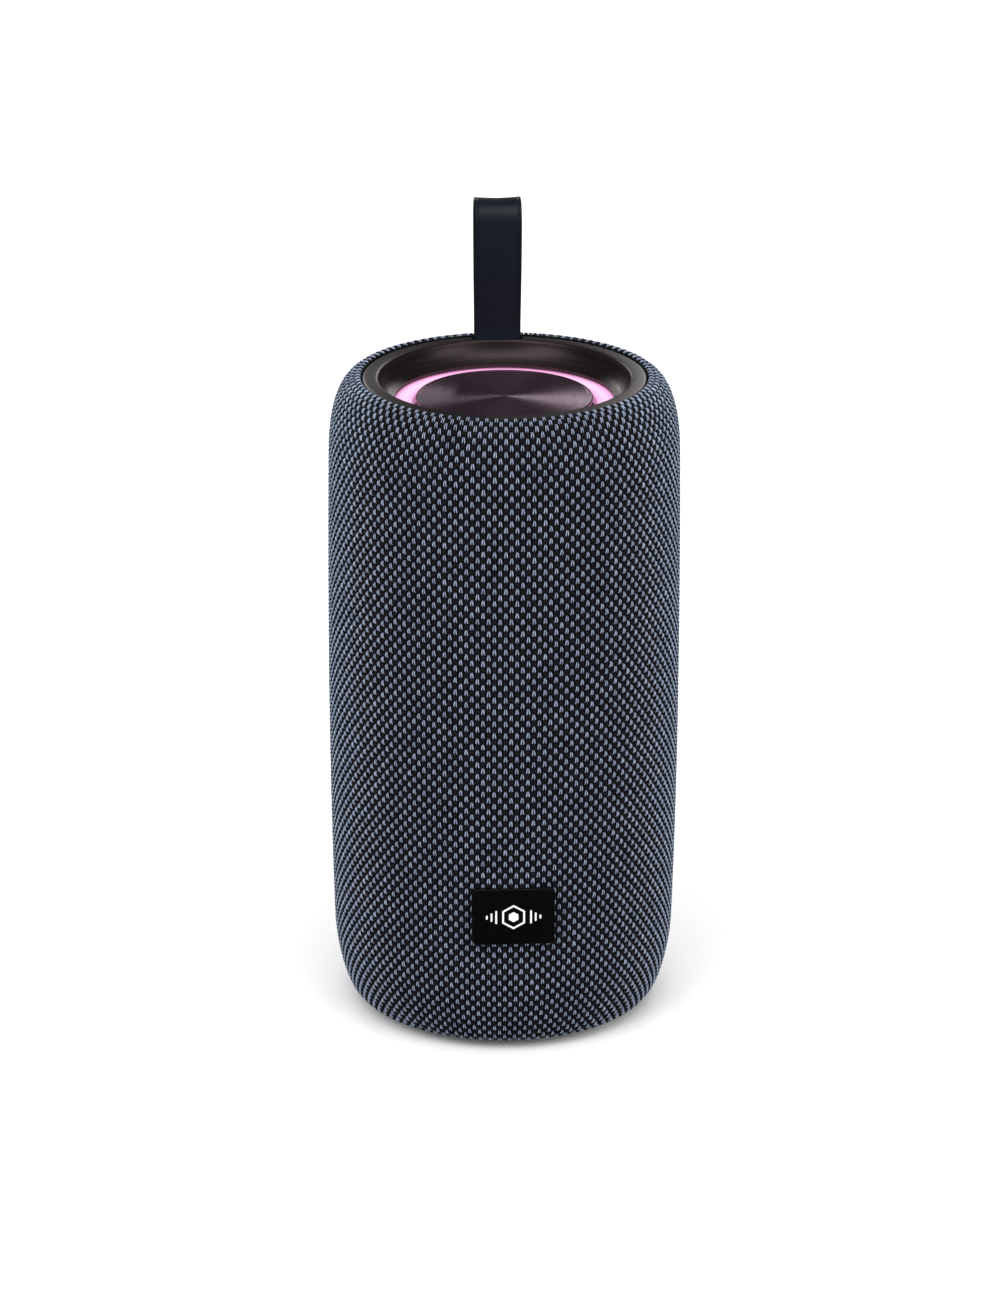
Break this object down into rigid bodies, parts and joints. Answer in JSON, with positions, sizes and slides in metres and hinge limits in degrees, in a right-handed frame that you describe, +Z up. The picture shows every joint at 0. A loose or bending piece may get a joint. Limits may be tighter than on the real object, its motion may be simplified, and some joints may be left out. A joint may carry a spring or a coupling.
{
  "type": "portable wireless speaker",
  "caption": "Knit-covered barrel speaker with a dished top, a glowing ring around a brushed disc, a short strap loop, a front badge and a rear control panel.",
  "frame": {"origin": "centre of the foot's face on the table", "axes": "+Z up along the barrel, -Y towards the badge, +Y towards the control panel and the strap, +X to the right as the badge is faced"},
  "size_m": [0.084, 0.0841, 0.1919],
  "materials": {
    "knit_fabric": "jacquard knit of blue-grey and near-black yarn",
    "shell_plastic": "moulded, fine grain",
    "bezel_lacquer": "satin dark plum-grey lacquer",
    "diffuser": "translucent, lit pink from below",
    "brushed_plate": "dark plate with a circular brushed finish",
    "rubber": "matt",
    "cone_paper": "pressed paper",
    "circuit_board": "solder mask",
    "strap_skin": "near-black navy, semi-matt",
    "badge_black": "satin black",
    "panel_silicone": "soft matt",
    "steel": "plated",
    "socket_black": "moulded",
    "ferrite": "sintered",
    "copper": "enamelled winding",
    "cell_can": "shrink-wrapped can",
    "wire_skin": "insulation"
  },
  "bodies": {
    "housing": {"aux_socket": "socket_black", "badge_plate": "badge_black", "base_cap": "shell_plastic", "base_screw_1": "steel", "base_screw_2": "steel", "base_screw_3": "steel", "base_screw_4": "steel", "battery_cell": "cell_can", "battery_cradle": "shell_plastic", "battery_lead": "wire_skin", "bezel_screw_1": "steel", "bezel_screw_2": "steel", "bezel_screw_3": "steel", "bezel_screw_4": "steel", "bottom_radiator_frame": "shell_plastic", "bottom_radiator_surround": "rubber", "button_board": "circuit_board", "card_slot": "steel", "control_panel": "panel_silicone", "driver_frame": "shell_plastic", "driver_gasket": "rubber", "driver_lead": "wire_skin", "driver_magnet": "ferrite", "driver_screw_1": "steel", "driver_screw_2": "steel", "driver_screw_3": "steel", "driver_screw_4": "steel", "driver_spider": "cone_paper", "driver_surround": "rubber", "driver_top_plate": "steel", "driver_yoke": "steel", "fabric_sleeve": "knit_fabric", "foot_ring": "rubber", "front_shell": "shell_plastic", "lamp_board": "circuit_board", "light_ring": "diffuser", "main_board": "circuit_board", "rear_shell": "shell_plastic", "strap_clamp": "shell_plastic", "strap_clamp_screw_1": "steel", "strap_clamp_screw_2": "steel", "strap_root": "strap_skin", "top_bezel": "bezel_lacquer", "top_radiator_frame": "shell_plastic", "top_radiator_surround": "rubber", "usb_socket": "steel"},
    "strap": {"strap_loop": "strap_skin"},
    "flap": {"port_flap": "panel_silicone"},
    "top_radiator": {"radiator_disc": "brushed_plate", "top_radiator_piston": "shell_plastic"},
    "bottom_radiator": {"bottom_radiator_piston": "shell_plastic"},
    "driver_motor": {"driver_cone": "cone_paper", "driver_dust_cap": "cone_paper", "driver_voice_coil": "copper"},
    "power_key": {"power_button": "panel_silicone"},
    "volume_up_key": {"volume_up_button": "panel_silicone"},
    "play_key": {"play_button": "panel_silicone"},
    "volume_down_key": {"volume_down_button": "panel_silicone"},
    "light_key": {"light_button": "panel_silicone"}
  },
  "joints": [
    {"name": "strap_bend", "type": "hinge", "parent": "housing", "child": "strap", "pos_m": [0, 0.031, 0.1586], "axis": [1, 0, 0], "range_deg": [-75, 80], "stiffness_Nm_per_rad": 0.02},
    {"name": "flap_hinge", "type": "hinge", "parent": "housing", "child": "flap", "pos_m": [-0.0065, 0.0405, 0.05255], "axis": [0, 0, 1], "range_deg": [0, 100]},
    {"name": "top_radiator_stroke", "type": "slide", "parent": "housing", "child": "top_radiator", "axis": [0, 0, 1], "range_m": [-0.0015, 0.0015], "stiffness_N_per_m": 1500},
    {"name": "bottom_radiator_stroke", "type": "slide", "parent": "housing", "child": "bottom_radiator", "axis": [0, 0, 1], "range_m": [-0.0015, 0.0015], "stiffness_N_per_m": 1500},
    {"name": "cone_stroke", "type": "slide", "parent": "housing", "child": "driver_motor", "axis": [0, -1, 0], "range_m": [-0.0015, 0.0015], "stiffness_N_per_m": 1200},
    {"name": "power_press", "type": "slide", "parent": "housing", "child": "power_key", "axis": [0, -1, 0], "range_m": [0, 0.0006], "stiffness_N_per_m": 2500},
    {"name": "volume_up_press", "type": "slide", "parent": "housing", "child": "volume_up_key", "axis": [0, -1, 0], "range_m": [0, 0.0006], "stiffness_N_per_m": 2500},
    {"name": "play_press", "type": "slide", "parent": "housing", "child": "play_key", "axis": [0, -1, 0], "range_m": [0, 0.0006], "stiffness_N_per_m": 2500},
    {"name": "volume_down_press", "type": "slide", "parent": "housing", "child": "volume_down_key", "axis": [0, -1, 0], "range_m": [0, 0.0006], "stiffness_N_per_m": 2500},
    {"name": "light_press", "type": "slide", "parent": "housing", "child": "light_key", "axis": [0, -1, 0], "range_m": [0, 0.0006], "stiffness_N_per_m": 2500}
  ]
}
